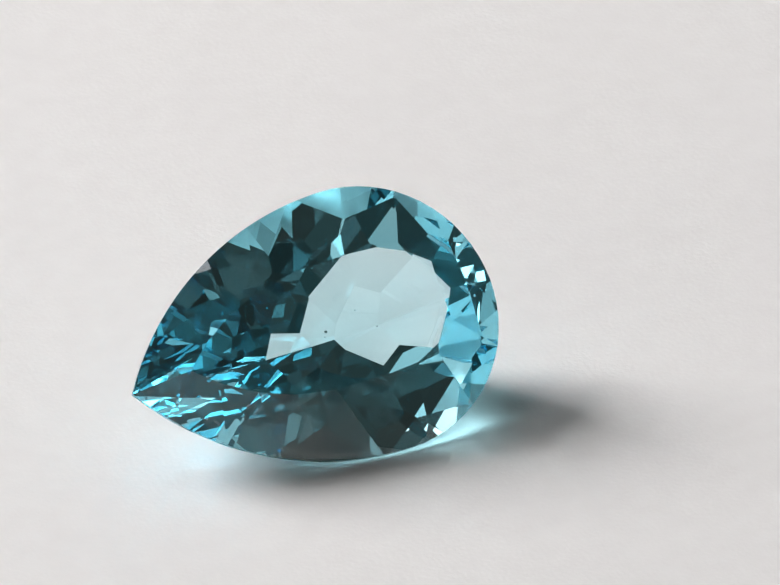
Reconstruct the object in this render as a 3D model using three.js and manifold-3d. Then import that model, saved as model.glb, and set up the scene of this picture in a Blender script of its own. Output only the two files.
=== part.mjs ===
// Pear-cut blue topaz gemstone, lying loose on one of its pavilion facets. Millimetres, +Z up.
// The stone is made as a cutter makes it: a pear-shaped blank, ground flat one facet at a time.
// The part's origin is on the surface that the stone lies on, under the middle of its bounding
// box, and the stone's length lies along X with the point of the pear towards -X.
import * as THREE from 'three';
import { mergeVertices } from 'three/addons/utils/BufferGeometryUtils.js';
import Module from 'manifold-3d';

// Driving dimensions. In the cutter's frame the table faces +Z, the point of the pear lies on
// -X, the girdle plane is z = 0 and the round head of the pear is centred on the Z axis.
const stoneLength = 20;
const stoneWidth = 14;
const girdleThickness = 0.18;
const tableHeight = 1.78;

// Facets stand at indexed azimuths, counted from the round end of the stone: wide steps round
// the head, narrow steps along the two long sides, and a ridge on the axis at the point.
const headStep = 28.5;
const headSteps = 3;
const sideSteps = 6;

// Slopes are in degrees from the girdle plane, at the round end, at the shoulders, where the
// head runs into the sides, and at the point.
const shoulderAzimuth = 92;
const crownMainSlope = { head: 29.8, shoulder: 24.2, point: 38.9 };
const upperHalfExtraSlope = 2.3;
const starSlope = 16.5;

// Pavilion tiers from the girdle down to the keel. A tier takes over from the one above it at
// a distance inside the outline, given for the round end and for the shoulders and sides, and
// it is always less steep than the tier above it, by at least the smallest break.
const pavilionTiers = [
  {
    at: 'main',
    slope: { head: 60, shoulder: 49.8, point: 44.9 },
    start: { head: 0, shoulder: 0 },
  },
  {
    at: 'evenJunction',
    slope: { head: 36.9, shoulder: 47.2, point: 48.9 },
    start: { head: 2, shoulder: 0.55 },
  },
  {
    at: 'oddJunction',
    slope: { head: 40.2, shoulder: 38.9, point: 43.6 },
    start: { head: 1.3, shoulder: 4.2 },
  },
  {
    at: 'evenJunction',
    slope: { head: 27.6, shoulder: 36, point: 29.1 },
    start: { head: 6.5, shoulder: 5.45 },
  },
];
const smallestBreak = 0.3;

// The stone lies on a facet of this tier, at this junction of its -Y side.
const restingTier = 1;
const restingJunction = 4;

const blankHeight = 8;
const outlineSegments = 16;
const lapSize = 60;

const wasm = await Module();
wasm.setup();

const { degToRad, radToDeg, lerp } = THREE.MathUtils;
const up = new THREE.Vector3(0, 0, 1);

// The outline is a half circle at the head and two long arcs that run tangent from it to the
// point. An azimuth is the direction in which a place on the outline faces.
const headRadius = stoneWidth / 2;
const pointReach = stoneLength - headRadius;
const sideRadius = (pointReach ** 2 + headRadius ** 2) / (2 * headRadius);
const sideCentre = sideRadius - headRadius;
const sideAzimuth = 90;
const pointAzimuth = sideAzimuth + radToDeg(Math.asin(pointReach / sideRadius));

// Places on one half of the outline, the other half being its mirror image: the junctions
// between main facets, and the mains and upper halves that stand between two junctions.
const sideStep = (pointAzimuth - headStep * headSteps) / sideSteps;
const junctions = [0];
for (let step = 1; step <= headSteps + sideSteps; step += 1) {
  const width = step <= headSteps ? headStep : sideStep;
  junctions.push(junctions[step - 1] + width);
}
const steps = junctions.slice(1).map((end, index) => [junctions[index], end]);
const betweenJunctions = (share) => steps.map(([start, end]) => lerp(start, end, share));
const facetAzimuths = {
  evenJunction: junctions.filter((azimuth, index) => index % 2 === 0),
  oddJunction: junctions.slice(0, -1).filter((azimuth, index) => index % 2 === 1),
  main: betweenJunctions(1 / 2),
  half: [...betweenJunctions(1 / 4), ...betweenJunctions(3 / 4)],
};
const mirrored = (azimuth) => (azimuth > 0 ? [azimuth, -azimuth] : [azimuth]);
const bothSides = (azimuths) => azimuths.flatMap(mirrored);

// A value given at the round end, the shoulder and the point, read off at any azimuth.
function along(value, azimuth) {
  const turn = Math.abs(azimuth);
  if (turn <= shoulderAzimuth) {
    return lerp(value.head, value.shoulder, turn / shoulderAzimuth);
  }
  const end = value.point ?? value.shoulder;
  return lerp(value.shoulder, end, (turn - shoulderAzimuth) / (pointAzimuth - shoulderAzimuth));
}

// The place on the outline that faces the azimuth, moved inwards and set at a height.
function placeAt(azimuth, inset, height) {
  const outward = new THREE.Vector3(Math.cos(degToRad(azimuth)), Math.sin(degToRad(azimuth)), 0);
  const onSide = Math.abs(azimuth) > sideAzimuth;
  const radius = onSide ? sideRadius : headRadius;
  const centreY = onSide ? -Math.sign(azimuth) * sideCentre : 0;
  return outward.multiplyScalar(radius - inset).add(new THREE.Vector3(0, centreY, height));
}

// The outward normal of a facet: crown facets face up, pavilion facets face down.
function normalAt(azimuth, slope, facing) {
  const heading = degToRad(azimuth);
  const outwards = Math.sin(degToRad(slope));
  const upwards = facing * Math.cos(degToRad(slope));
  return new THREE.Vector3(outwards * Math.cos(heading), outwards * Math.sin(heading), upwards);
}

function toSolid(geometry) {
  geometry.deleteAttribute('normal');
  geometry.deleteAttribute('uv');
  const merged = mergeVertices(geometry);
  const vertProperties = new Float32Array(merged.attributes.position.array);
  const triVerts = new Uint32Array(merged.index.array);
  return new wasm.Manifold(new wasm.Mesh({ numProp: 3, vertProperties, triVerts }));
}

// Grinds one flat facet: a block removes all of the stone that lies beyond the facet's plane.
function grind(stone, place, normal) {
  const block = new THREE.BoxGeometry(lapSize, lapSize, lapSize);
  block.applyQuaternion(new THREE.Quaternion().setFromUnitVectors(up, normal));
  block.translate(...place.clone().addScaledVector(normal, lapSize / 2));
  return stone.subtract(toSolid(block));
}

// The blank is the outline, extruded. It is taller than the stone on both sides of the girdle.
function pearBlank() {
  const pointAngle = degToRad(pointAzimuth);
  const outline = new THREE.Shape();
  outline.moveTo(-pointReach, 0);
  outline.absarc(0, sideCentre, sideRadius, -pointAngle, -Math.PI / 2, false);
  outline.absarc(0, 0, headRadius, -Math.PI / 2, Math.PI / 2, false);
  outline.absarc(0, -sideCentre, sideRadius, Math.PI / 2, pointAngle, false);
  const blank = new THREE.ExtrudeGeometry(outline, {
    depth: 2 * blankHeight,
    curveSegments: outlineSegments,
    bevelEnabled: false,
  });
  blank.translate(0, 0, -blankHeight);
  return toSolid(blank);
}

// Table, mains, upper halves and stars. A star joins the table's corners on two mains.
function grindCrown(blank) {
  const rim = girdleThickness / 2;
  const mains = bothSides(facetAzimuths.main).sort((a, b) => a - b);
  const corners = mains.map((azimuth) => {
    const inset = (tableHeight - rim) / Math.tan(degToRad(along(crownMainSlope, azimuth)));
    return placeAt(azimuth, inset, tableHeight);
  });
  let stone = grind(blank, new THREE.Vector3(0, 0, tableHeight), up);
  for (const azimuth of mains) {
    const normal = normalAt(azimuth, along(crownMainSlope, azimuth), 1);
    stone = grind(stone, placeAt(azimuth, 0, rim), normal);
  }
  for (const azimuth of bothSides(facetAzimuths.half)) {
    const normal = normalAt(azimuth, along(crownMainSlope, azimuth) + upperHalfExtraSlope, 1);
    stone = grind(stone, placeAt(azimuth, 0, rim), normal);
  }
  for (let star = 1; star < corners.length; star += 1) {
    const across = corners[star].clone().sub(corners[star - 1]).cross(up);
    const azimuth = radToDeg(Math.atan2(across.y, across.x));
    stone = grind(stone, corners[star], normalAt(azimuth, starSlope, 1));
  }
  return stone;
}

// The plane of a tier's facet: its slope, and the place on the outline that it would pass.
function pavilionFacet(tier, azimuth) {
  let slope = along(pavilionTiers[0].slope, azimuth);
  let depth = girdleThickness / 2;
  for (const { slope: slopes, start } of pavilionTiers.slice(1, tier + 1)) {
    const innerSlope = Math.min(along(slopes, azimuth), slope - smallestBreak);
    depth += along(start, azimuth) * (Math.tan(degToRad(slope)) - Math.tan(degToRad(innerSlope)));
    slope = innerSlope;
  }
  return { place: placeAt(azimuth, 0, -depth), normal: normalAt(azimuth, slope, -1) };
}

function grindPavilion(crowned) {
  let stone = crowned;
  pavilionTiers.forEach((tier, index) => {
    for (const azimuth of bothSides(facetAzimuths[tier.at])) {
      const { place, normal } = pavilionFacet(index, azimuth);
      stone = grind(stone, place, normal);
    }
  });
  return stone;
}

function toGeometry(solid) {
  const { vertProperties, triVerts } = solid.getMesh();
  const geometry = new THREE.BufferGeometry();
  geometry.setAttribute('position', new THREE.BufferAttribute(vertProperties, 3));
  geometry.setIndex(new THREE.BufferAttribute(triVerts, 1));
  const flat = geometry.toNonIndexed();
  flat.computeVertexNormals();
  return flat;
}

const topaz = new THREE.Mesh(
  toGeometry(grindPavilion(grindCrown(pearBlank()))),
  new THREE.MeshStandardMaterial({ color: 0x5cb3c6, roughness: 0.02, metalness: 0 }),
);
topaz.name = 'pear_cut_topaz';

// Tips the stone over until it lies on its resting facet, with its length still along X.
const down = pavilionFacet(restingTier, -junctions[restingJunction]).normal;
const upwards = down.clone().negate();
const lengthwise = new THREE.Vector3(1, 0, 0).projectOnPlane(upwards).normalize();
const sideways = upwards.clone().cross(lengthwise);
const tipped = new THREE.Matrix4().makeBasis(lengthwise, sideways, upwards).transpose();
topaz.quaternion.setFromRotationMatrix(tipped);
const box = new THREE.Box3().setFromObject(topaz, true);
topaz.position.set(-(box.min.x + box.max.x) / 2, -(box.min.y + box.max.y) / 2, -box.min.z);

const stoneAtRest = new THREE.Group();
stoneAtRest.add(topaz);

export default stoneAtRest;
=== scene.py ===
import math

import bmesh
import bpy
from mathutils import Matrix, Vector, noise


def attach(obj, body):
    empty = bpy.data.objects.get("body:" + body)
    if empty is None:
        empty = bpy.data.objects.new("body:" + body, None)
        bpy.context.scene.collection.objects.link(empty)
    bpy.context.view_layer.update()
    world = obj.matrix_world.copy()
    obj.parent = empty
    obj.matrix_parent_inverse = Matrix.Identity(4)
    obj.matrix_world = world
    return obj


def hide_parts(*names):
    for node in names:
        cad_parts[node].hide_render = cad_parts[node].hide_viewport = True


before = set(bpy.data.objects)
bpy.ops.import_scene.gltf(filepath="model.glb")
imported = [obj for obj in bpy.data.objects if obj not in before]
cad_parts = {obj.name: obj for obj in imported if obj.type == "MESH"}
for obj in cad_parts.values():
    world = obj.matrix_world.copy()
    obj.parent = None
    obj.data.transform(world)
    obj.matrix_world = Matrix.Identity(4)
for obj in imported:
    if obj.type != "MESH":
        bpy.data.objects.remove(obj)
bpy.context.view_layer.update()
mm = 0.001  # the scene is in metres
stoneNode = "pear_cut_topaz"
print("frame loaded")


def linear(hexColour):  # sRGB hex to the linear colour that the shaders use
    channels = [int(hexColour[i:i + 2], 16) / 255 for i in (1, 3, 5)]
    return [c / 12.92 if c <= 0.04045 else ((c + 0.055) / 1.055) ** 2.4 for c in channels] + [1.0]


def addNode(tree, kind, settings=None, links=None, **fixed):
    # a node with its settings, and links given as input: (node, output)
    node = tree.nodes.new(kind)
    for name, value in fixed.items():
        setattr(node, name, value)
    for name, value in (settings or {}).items():
        node.inputs[name].default_value = value
    for name, (source, output) in (links or {}).items():
        tree.links.new(source.outputs[output], node.inputs[name])
    return node


# A Mix node's sockets share their names, so they go by number.
colourMix = {"share": 0, "first": 6, "second": 7, "result": 2}
numberMix = {"share": 0, "first": 2, "second": 3, "result": 0}


def newMaterial(name):
    material = bpy.data.materials.new(name)
    material.use_nodes = True
    material.node_tree.nodes.clear()
    return material, material.node_tree


def direction(azimuth, elevation):  # degrees; azimuth 0 is towards -Y and 90 towards +X
    turn, rise = math.radians(azimuth), math.radians(elevation)
    flat = math.cos(rise)
    return Vector((math.sin(turn) * flat, -math.cos(turn) * flat, math.sin(rise)))


# The camera looks down on the stone from the side of its table. The lens is long and stands
# well back, so the stone isn't widened towards the viewer.
cameraView = {
    "azimuth": -22.7,
    "elevation": 31.4,
    "roll": -1.8,
    "lensMm": 900,
    "stoneOriginMm": (2.984, -0.249, 5.269),  # centre of the round end, on the girdle
    "sideShiftMm": 1.27,                      # from that centre to the middle of the picture
    "upShiftMm": 1.41,
    "pictureWidthMm": 39.85,                  # width of the view at the stone
    "filmWidthMm": 36,
    "clipShares": (0.1, 20),                  # nearest and furthest thing drawn, by the distance
}


def makeCamera():
    view = cameraView
    back = direction(view["azimuth"], view["elevation"])
    data = bpy.data.cameras.new("camera")
    data.lens = view["lensMm"]
    data.sensor_width = view["filmWidthMm"]
    distance = view["pictureWidthMm"] * mm * view["lensMm"] / view["filmWidthMm"]
    camera = bpy.data.objects.new("camera", data)
    bpy.context.scene.collection.objects.link(camera)
    matrix = back.to_track_quat("Z", "Y").to_matrix().to_4x4()
    roll = math.radians(view["roll"])
    across, upright = matrix.col[0].to_3d(), matrix.col[1].to_3d()
    right = across * math.cos(roll) + upright * math.sin(roll)
    up = upright * math.cos(roll) - across * math.sin(roll)
    aim = Vector(view["stoneOriginMm"]) + right * view["sideShiftMm"] + up * view["upShiftMm"]
    matrix.col[0][:3] = right
    matrix.col[1][:3] = up
    matrix.translation = aim * mm + back * distance
    camera.matrix_world = matrix
    data.clip_start, data.clip_end = [distance * share for share in view["clipShares"]]
    bpy.context.scene.camera = camera
    print("camera set", round(distance, 3), "m from the stone")


stoneShape = {
    "weldMm": 0.001,
    "facetAngle": 0.05,      # faces flatter to each other than this, in degrees, are one facet
    "lapTurn": 137.5,        # degrees from one facet's lap lines to the next one's
    "girdleSlant": 0.05,     # sine of the lean towards the table, under which a face is the girdle
    "levelSlant": 0.01,      # sine of the slope, under which a facet is level
}


def acrossLapLines(normal, index):  # the direction in a facet that runs square to its lap lines
    across = normal.cross(Vector((0, 0, 1)))
    if across.length < stoneShape["levelSlant"]:
        across = Vector((1, 0, 0))
    across.normalize()
    along = normal.cross(across)
    turn = math.radians(stoneShape["lapTurn"] * index)
    return across * math.cos(turn) + along * math.sin(turn)


def shapeStone():
    mesh = bmesh.new()
    mesh.from_mesh(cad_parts[stoneNode].data)
    bmesh.ops.remove_doubles(mesh, verts=mesh.verts, dist=stoneShape["weldMm"] * mm)
    bmesh.ops.dissolve_limit(
        mesh, angle_limit=math.radians(stoneShape["facetAngle"]), verts=mesh.verts, edges=mesh.edges)
    bmesh.ops.recalc_face_normals(mesh, faces=mesh.faces)
    data = bpy.data.meshes.new("polished_topaz")
    mesh.to_mesh(data)
    mesh.free()
    data.shade_flat()
    lap = data.attributes.new("acrossLapLines", "FLOAT_VECTOR", "FACE")
    ground = data.attributes.new("groundGirdle", "FLOAT", "FACE")
    table = max(data.polygons, key=lambda facet: facet.area).normal
    for index, facet in enumerate(data.polygons):
        lap.data[index].vector = acrossLapLines(facet.normal, index)
        ground.data[index].value = float(abs(facet.normal.dot(table)) < stoneShape["girdleSlant"])
    stone = bpy.data.objects.new("polished_topaz", data)
    bpy.context.scene.collection.objects.link(stone)
    print("stone:", len(data.polygons), "facets,", len(data.edges), "facet junctions")
    return stone


# Blue topaz, sawn, ground and polished facet by facet on a flat lap: a hard clear crystal, so
# the eye gets sharp mirror reflections outside, and inside it bright and dark facets where the
# light turns back. Close to, the lap leaves very faint straight lines, each facet its own way,
# and handling leaves a little grease on it.
topazFinish = {
    "ior": 1.62,
    "bodyColour": "#44e9f8",      # the colour that the crystal lets through
    "absorptionPerMetre": 60,
    "zoneColours": ("#fbfeff", "#ffffff"),  # weak growth zones
    "zoneMm": 5.0,
    "zoneDetail": 1.0,
    "lapLineMm": 0.12,            # real lines are 1 to 5 micrometres apart: drawn coarse to show
    "lapLineDetail": 2.0,
    "lapDepthMm": 0.00003,
    "smudgeMm": 2.2,
    "smudgeDetail": 3.0,
    "smudgeRange": (0.52, 0.75),  # where in the noise a smudge begins and where it is full
    "smudgeRoughness": 0.02,
    "girdleRoughness": 0.45,      # the girdle is ground to shape and left frosted
}


def topazMaterial():
    finish = topazFinish
    material, tree = newMaterial("lap_polished_blue_topaz")
    place = addNode(tree, "ShaderNodeTexCoord")
    # growth zones: broad soft patches of slightly more and less colour, put on as light passes
    # the surface
    zones = addNode(tree, "ShaderNodeTexNoise", {
        "Scale": 1 / (finish["zoneMm"] * mm), "Detail": finish["zoneDetail"],
    }, {"Vector": (place, "Object")})
    zoneColour = addNode(tree, "ShaderNodeMix", {
        colourMix["first"]: linear(finish["zoneColours"][0]),
        colourMix["second"]: linear(finish["zoneColours"][1]),
    }, {colourMix["share"]: (zones, "Fac")}, data_type="RGBA")
    # lap lines: noise that changes only across each facet's own lines
    lap = addNode(tree, "ShaderNodeAttribute", attribute_name="acrossLapLines")
    acrossLap = addNode(tree, "ShaderNodeVectorMath", links={
        0: (place, "Object"), 1: (lap, "Vector")}, operation="DOT_PRODUCT")
    lines = addNode(tree, "ShaderNodeTexNoise", {
        "Scale": 1 / (finish["lapLineMm"] * mm), "Detail": finish["lapLineDetail"],
    }, {"W": (acrossLap, "Value")}, noise_dimensions="1D")
    relief = addNode(tree, "ShaderNodeBump", {
        "Strength": 1.0, "Distance": finish["lapDepthMm"] * mm}, {"Height": (lines, "Fac")})
    # smudges: a few soft greasy patches, the rest fully polished
    smudges = addNode(tree, "ShaderNodeTexNoise", {
        "Scale": 1 / (finish["smudgeMm"] * mm), "Detail": finish["smudgeDetail"],
    }, {"Vector": (place, "Object")})
    smudgeStart, smudgeFull = finish["smudgeRange"]
    dullness = addNode(tree, "ShaderNodeMapRange", {
        "From Min": smudgeStart, "From Max": smudgeFull,
        "To Min": 0.0, "To Max": finish["smudgeRoughness"],
    }, {"Value": (smudges, "Fac")})
    girdle = addNode(tree, "ShaderNodeAttribute", attribute_name="groundGirdle")
    frosted = addNode(tree, "ShaderNodeMath", {1: finish["girdleRoughness"]}, {
        0: (girdle, "Fac"), 2: (dullness, "Result")}, operation="MULTIPLY_ADD")
    surface = addNode(tree, "ShaderNodeBsdfPrincipled", {
        "Transmission Weight": 1.0,
        "IOR": finish["ior"],
    }, {
        "Base Color": (zoneColour, colourMix["result"]),
        "Roughness": (frosted, "Value"),
        "Normal": (relief, "Normal"),
    })
    tint = addNode(tree, "ShaderNodeVolumeAbsorption", {
        "Color": linear(finish["bodyColour"]),
        "Density": finish["absorptionPerMetre"],
    })
    addNode(tree, "ShaderNodeOutputMaterial", links={
        "Surface": (surface, "BSDF"), "Volume": (tint, "Volume")})
    return material


# Pinpoint crystals that the topaz grew around, sealed 0.7 to 1.5 mm under the table. They are
# rough and nearly black, so the eye gets small dark specks.
inclusions = {
    "placesMm": [(0.35, -1.15, 5.71), (2.25, -0.43, 6.05), (3.08, -1.36, 5.4), (0.39, -0.7, 5.04)],
    "sizesMm": (0.14, 0.06, 0.07, 0.05),
    "stretch": (1.3, 0.8, 1.0),
    "subdivisions": 2,
    "lumpHeight": 0.5,       # as a share of the grain's size
    "lumpScale": 2.3,
    "lumpShift": 7.0,        # from one grain's lumps to the next one's, so that no two are alike
    "colour": "#10201f",
    "roughness": (0.3, 0.5),
    "mottleMm": 0.02,
}


def makeInclusions():
    mesh = bmesh.new()
    for number, (place, size) in enumerate(zip(inclusions["placesMm"], inclusions["sizesMm"])):
        grain = bmesh.ops.create_icosphere(mesh, subdivisions=inclusions["subdivisions"], radius=0.5)
        shift = Vector((number * inclusions["lumpShift"], 0, 0))
        for vertex in grain["verts"]:
            lump = 1 + inclusions["lumpHeight"] * noise.noise(vertex.co * inclusions["lumpScale"] + shift)
            stretched = Vector([c * share for c, share in zip(vertex.co, inclusions["stretch"])])
            vertex.co = Vector(place) * mm + stretched * lump * size * mm
    data = bpy.data.meshes.new("pinpoint_inclusions")
    mesh.to_mesh(data)
    mesh.free()
    grains = bpy.data.objects.new("pinpoint_inclusions", data)
    bpy.context.scene.collection.objects.link(grains)
    material, tree = newMaterial("dark_mineral_grains")
    place = addNode(tree, "ShaderNodeTexCoord")
    mottle = addNode(tree, "ShaderNodeTexNoise", {
        "Scale": 1 / (inclusions["mottleMm"] * mm)}, {"Vector": (place, "Object")})
    smoothest, roughest = inclusions["roughness"]
    dullness = addNode(tree, "ShaderNodeMapRange", {
        "To Min": smoothest, "To Max": roughest}, {"Value": (mottle, "Fac")})
    surface = addNode(tree, "ShaderNodeBsdfPrincipled", {"Base Color": linear(inclusions["colour"])},
        {"Roughness": (dullness, "Result")})
    addNode(tree, "ShaderNodeOutputMaterial", links={"Surface": (surface, "BSDF")})
    data.materials.append(material)
    print("inclusions:", len(inclusions["sizesMm"]))
    return grains


# A sheet of plain uncoated paper: white and matt, with a very slight cloudiness from its fibres.
floorFinish = {
    "colours": ("#e6e2e1", "#edeae9"),
    "cloudMm": 1.5,
    "cloudDetail": 4.0,
    "fibreMm": 0.25,         # single fibres are about 0.03 mm wide: drawn coarse to show
    "fibreDetail": 3.0,
    "fibreDepthMm": 0.012,
    "roughness": 0.85,
    "sizeMm": 6000,
    "gapMm": 0.02,           # the stone touches only the tops of the fibres
}


def makeFloor():
    half = floorFinish["sizeMm"] * mm / 2
    low = -floorFinish["gapMm"] * mm
    corners = [(-half, -half, low), (half, -half, low), (half, half, low), (-half, half, low)]
    data = bpy.data.meshes.new("floor")
    data.from_pydata(corners, [], [(0, 1, 2, 3)])
    floor = bpy.data.objects.new("floor", data)
    bpy.context.scene.collection.objects.link(floor)
    material, tree = newMaterial("uncoated_white_paper")
    place = addNode(tree, "ShaderNodeTexCoord")
    cloud = addNode(tree, "ShaderNodeTexNoise", {
        "Scale": 1 / (floorFinish["cloudMm"] * mm), "Detail": floorFinish["cloudDetail"],
    }, {"Vector": (place, "Object")})
    colour = addNode(tree, "ShaderNodeMix", {
        colourMix["first"]: linear(floorFinish["colours"][0]),
        colourMix["second"]: linear(floorFinish["colours"][1]),
    }, {colourMix["share"]: (cloud, "Fac")}, data_type="RGBA")
    fibre = addNode(tree, "ShaderNodeTexNoise", {
        "Scale": 1 / (floorFinish["fibreMm"] * mm), "Detail": floorFinish["fibreDetail"],
    }, {"Vector": (place, "Object")})
    relief = addNode(tree, "ShaderNodeBump", {
        "Strength": 1.0, "Distance": floorFinish["fibreDepthMm"] * mm}, {"Height": (fibre, "Fac")})
    surface = addNode(tree, "ShaderNodeBsdfPrincipled", {"Roughness": floorFinish["roughness"]},
        {"Base Color": (colour, colourMix["result"]), "Normal": (relief, "Normal")})
    addNode(tree, "ShaderNodeOutputMaterial", links={"Surface": (surface, "BSDF")})
    data.materials.append(material)
    print("floor made")


# Light: one strong panel of diffuser cloth behind the stone, towards its point, weak softboxes
# round it and a dim room. Each polished facet mirrors another part of them, so their small
# differences are what tells one facet from the next.
studioLight = {
    "roomLow": 0.12,            # brightness at the height of the floor
    "roomAbove": 0.066,
    "lowDegrees": 12,           # from the floor up to here it falls from the first to the second
    "roomColours": ("#d6c4b8", "#b4cfcb"),  # warm on one side, greenish on another
    "tintScale": 1.7,
    "tintRange": (0.4, 0.6),    # where in the noise the first tint ends and the second is full
    "tintDistortion": 0.4,
    "unevenness": 0.45,         # how much the room's brightness varies from place to place
    "unevenScale": 2.6,
    "unevenRange": (0.35, 0.65),
    "roomDetail": 1.0,
    "distanceMm": 900,          # from the stone to the panel and to each softbox
    "softboxes": [              # azimuth, elevation, width and height in degrees, brightness
        (197, 60, 16, 14, 4.0),
        (325, 10, 56, 13, 0.7),
        (285, 20, 12, 12, 2.6),
        (99, 5, 20, 7, 1.0),
        (347, 6, 24, 10, 1.0),
        (180, 8, 9, 20, 1.3),
        (289, 47, 20, 14, 0.45),
        (322, 18, 12, 8, 3.5),
    ],
}

# The panel is white cloth, lit evenly, so it gives one soft shadow. It lights the paper at its
# full brightness. Seen through one or two facets it would be a flat white patch, so there it is
# held down, which no real panel does. Light that has turned many times inside the stone has been
# coloured by it and is let through in full: it sparkles.
keyPanel = {
    "azimuth": 219,
    "elevation": 35,
    "widthDegrees": 26,
    "heightDegrees": 26,
    "brightness": 20.3,
    "seenBrightness": 2.5,
    "heldBounces": 4,           # up to this many bounces it is held down
    "freeBounces": 8,           # from this many on it isn't
}


def makeRoom():
    light = studioLight
    world = bpy.data.worlds.new("dim_room")
    bpy.context.scene.world = world
    world.use_nodes = True
    tree = world.node_tree
    tree.nodes.clear()
    place = addNode(tree, "ShaderNodeTexCoord")
    parts = addNode(tree, "ShaderNodeSeparateXYZ", links={"Vector": (place, "Generated")})
    height = addNode(tree, "ShaderNodeMapRange", {
        "From Min": 0.0, "From Max": math.sin(math.radians(light["lowDegrees"])),
        "To Min": light["roomLow"], "To Max": light["roomAbove"],
    }, {"Value": (parts, "Z")})
    patches = addNode(tree, "ShaderNodeTexNoise", {
        "Scale": light["unevenScale"], "Detail": light["roomDetail"],
    }, {"Vector": (place, "Generated")})
    darkEnd, brightEnd = light["unevenRange"]
    uneven = addNode(tree, "ShaderNodeMapRange", {
        "From Min": darkEnd, "From Max": brightEnd,
        "To Min": 1 - light["unevenness"], "To Max": 1 + light["unevenness"],
    }, {"Value": (patches, "Fac")})
    room = addNode(tree, "ShaderNodeMath", links={
        0: (height, "Result"), 1: (uneven, "Result")}, operation="MULTIPLY")
    tints = addNode(tree, "ShaderNodeTexNoise", {
        "Scale": light["tintScale"], "Detail": light["roomDetail"],
        "Distortion": light["tintDistortion"],
    }, {"Vector": (place, "Generated")})
    firstEnd, secondFull = light["tintRange"]
    tint = addNode(tree, "ShaderNodeMapRange", {
        "From Min": firstEnd, "From Max": secondFull}, {"Value": (tints, "Fac")})
    colour = addNode(tree, "ShaderNodeMix", {
        colourMix["first"]: linear(light["roomColours"][0]),
        colourMix["second"]: linear(light["roomColours"][1]),
    }, {colourMix["share"]: (tint, "Result")}, data_type="RGBA")
    glow = addNode(tree, "ShaderNodeBackground", links={
        "Color": (colour, colourMix["result"]), "Strength": (room, "Value")})
    addNode(tree, "ShaderNodeOutputWorld", links={"Surface": (glow, "Background")})
    print("room made")


def panelSpan(degrees):  # the size that looks this wide from the stone
    return 2 * studioLight["distanceMm"] * mm * math.tan(math.radians(degrees / 2))


def hangLight(light, azimuth, elevation):  # round the stone and facing it
    away = direction(azimuth, elevation)
    light.location = away * studioLight["distanceMm"] * mm
    light.rotation_euler = away.to_track_quat("Z", "Y").to_euler()
    bpy.context.scene.collection.objects.link(light)


def makeKeyPanel():
    panel = keyPanel
    wide, high = panelSpan(panel["widthDegrees"]) / 2, panelSpan(panel["heightDegrees"]) / 2
    corners = [(-wide, -high, 0), (wide, -high, 0), (wide, high, 0), (-wide, high, 0)]
    data = bpy.data.meshes.new("key_panel")
    data.from_pydata(corners, [], [(0, 1, 2, 3)])
    material, tree = newMaterial("lit_diffuser_cloth")
    path = addNode(tree, "ShaderNodeLightPath")
    straight = addNode(tree, "ShaderNodeMath", {1: 0.5}, {  # under one, so no paper in between
        0: (path, "Diffuse Depth")}, operation="LESS_THAN")
    seen = addNode(tree, "ShaderNodeMath", links={
        0: (path, "Is Transmission Ray"), 1: (straight, "Value")}, operation="MULTIPLY")
    held = addNode(tree, "ShaderNodeMapRange", {
        "From Min": panel["heldBounces"], "From Max": panel["freeBounces"],
        "To Min": panel["seenBrightness"], "To Max": panel["brightness"],
    }, {"Value": (path, "Ray Depth")})
    strength = addNode(tree, "ShaderNodeMix", {numberMix["first"]: panel["brightness"]}, {
        numberMix["share"]: (seen, "Value"), numberMix["second"]: (held, "Result")})
    glow = addNode(tree, "ShaderNodeEmission", links={"Strength": (strength, numberMix["result"])})
    addNode(tree, "ShaderNodeOutputMaterial", links={"Surface": (glow, "Emission")})
    data.materials.append(material)
    cloth = bpy.data.objects.new("key_panel", data)
    cloth.visible_camera = False
    hangLight(cloth, panel["azimuth"], panel["elevation"])
    print("key panel hung")


def makeSoftboxes():
    for number, (azimuth, elevation, width, height, brightness) in enumerate(studioLight["softboxes"]):
        data = bpy.data.lights.new(f"softbox{number}", "AREA")
        data.shape = "RECTANGLE"
        data.size, data.size_y = panelSpan(width), panelSpan(height)
        data.energy = brightness * math.pi * data.size * data.size_y
        hangLight(bpy.data.objects.new(f"softbox{number}", data), azimuth, elevation)
    print("softboxes:", len(studioLight["softboxes"]))


# Light is followed deep into the stone, where it turns many times, and a little off the paper.
lightPaths = {
    "stoneBounces": 32,
    "paperBounces": 3,
    "brightestBounce": 8,    # a brighter one is cut to this, against stray white dots
}


def setLightPaths():
    cycles = bpy.context.scene.cycles
    cycles.max_bounces = lightPaths["stoneBounces"]
    cycles.transmission_bounces = lightPaths["stoneBounces"]
    cycles.glossy_bounces = lightPaths["stoneBounces"]
    cycles.diffuse_bounces = lightPaths["paperBounces"]
    cycles.sample_clamp_indirect = lightPaths["brightestBounce"]
    cycles.blur_glossy = 0   # facets keep their sharp reflections
    cycles.sampling_pattern = "TABULATED_SOBOL"  # even grain, without worm-like streaks
    bpy.context.scene.view_settings.view_transform = "Standard"
    print("light paths set")


makeCamera()
stone = shapeStone()
stone.data.materials.append(topazMaterial())
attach(stone, "root")
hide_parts(stoneNode)
grains = makeInclusions()
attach(grains, "root")
makeFloor()
makeRoom()
makeKeyPanel()
makeSoftboxes()
setLightPaths()
